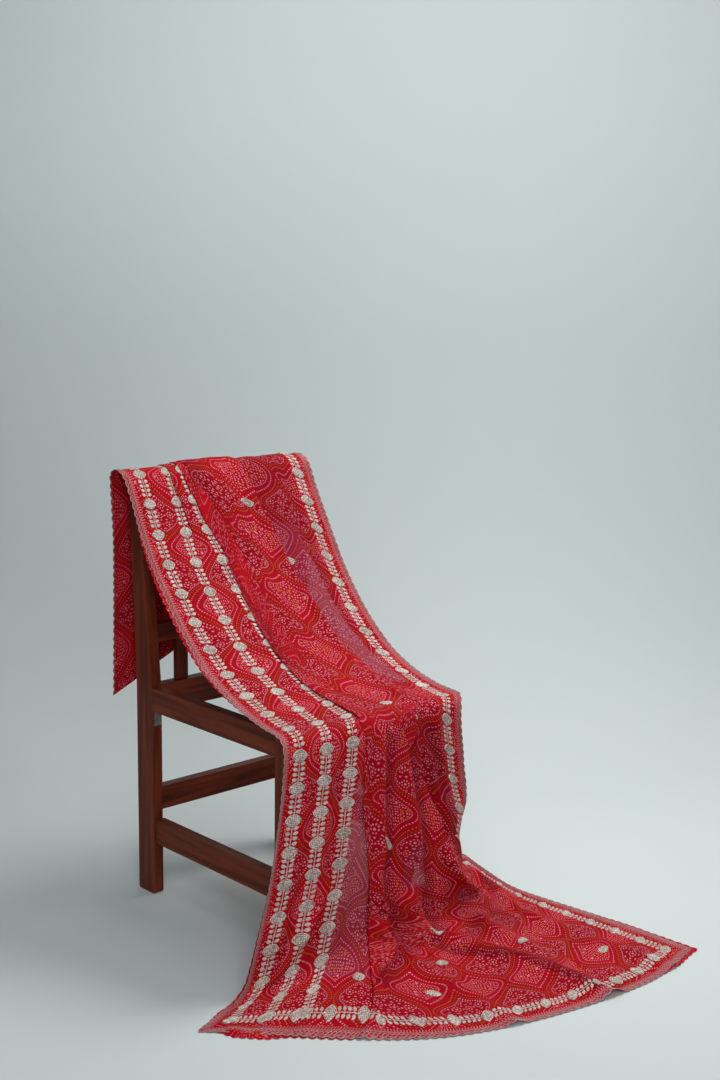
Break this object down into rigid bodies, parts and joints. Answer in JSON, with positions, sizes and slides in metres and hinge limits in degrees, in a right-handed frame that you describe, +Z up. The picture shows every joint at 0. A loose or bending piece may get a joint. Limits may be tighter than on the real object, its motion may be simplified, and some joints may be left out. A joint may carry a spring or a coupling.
{
  "type": "bandhani cloth over a wooden chair",
  "caption": "Red tie-dyed cloth with an embroidered scalloped border, falling from the top of a plain wooden chair's back over the seat and spreading on the floor.",
  "frame": {"origin": "on the floor, under the middle of the whole object's box", "axes": "+Z up; the chair faces -Y, so the cloth falls from the back at +Y over the seat to the floor at -Y; +X is to the right of someone who faces the front of the chair"},
  "size_m": [0.918, 1.0314, 0.8901],
  "materials": {
    "wood": "dark red-brown polished hardwood",
    "steel": "zinc-plated sheet",
    "dyed_cloth": "thin red georgette, tie-dyed in small dots",
    "gota_and_zari": "silvery metallic ribbon and thread, sewn on"
  },
  "bodies": {
    "root": {"rear_post_left": "wood", "rear_post_right": "wood", "front_leg_left": "wood", "front_leg_right": "wood", "seat_rail_left": "wood", "seat_rail_right": "wood", "seat_rail_front": "wood", "seat_rail_rear": "wood", "top_rail": "wood", "cross_rail_upper": "wood", "cross_rail_lower": "wood", "back_slat_1": "wood", "back_slat_2": "wood", "back_slat_3": "wood", "back_slat_4": "wood", "side_stretcher_left": "wood", "side_stretcher_right": "wood", "rear_stretcher": "wood", "seat_bracket": "steel", "cloth": "dyed_cloth"}
  },
  "joints": []
}
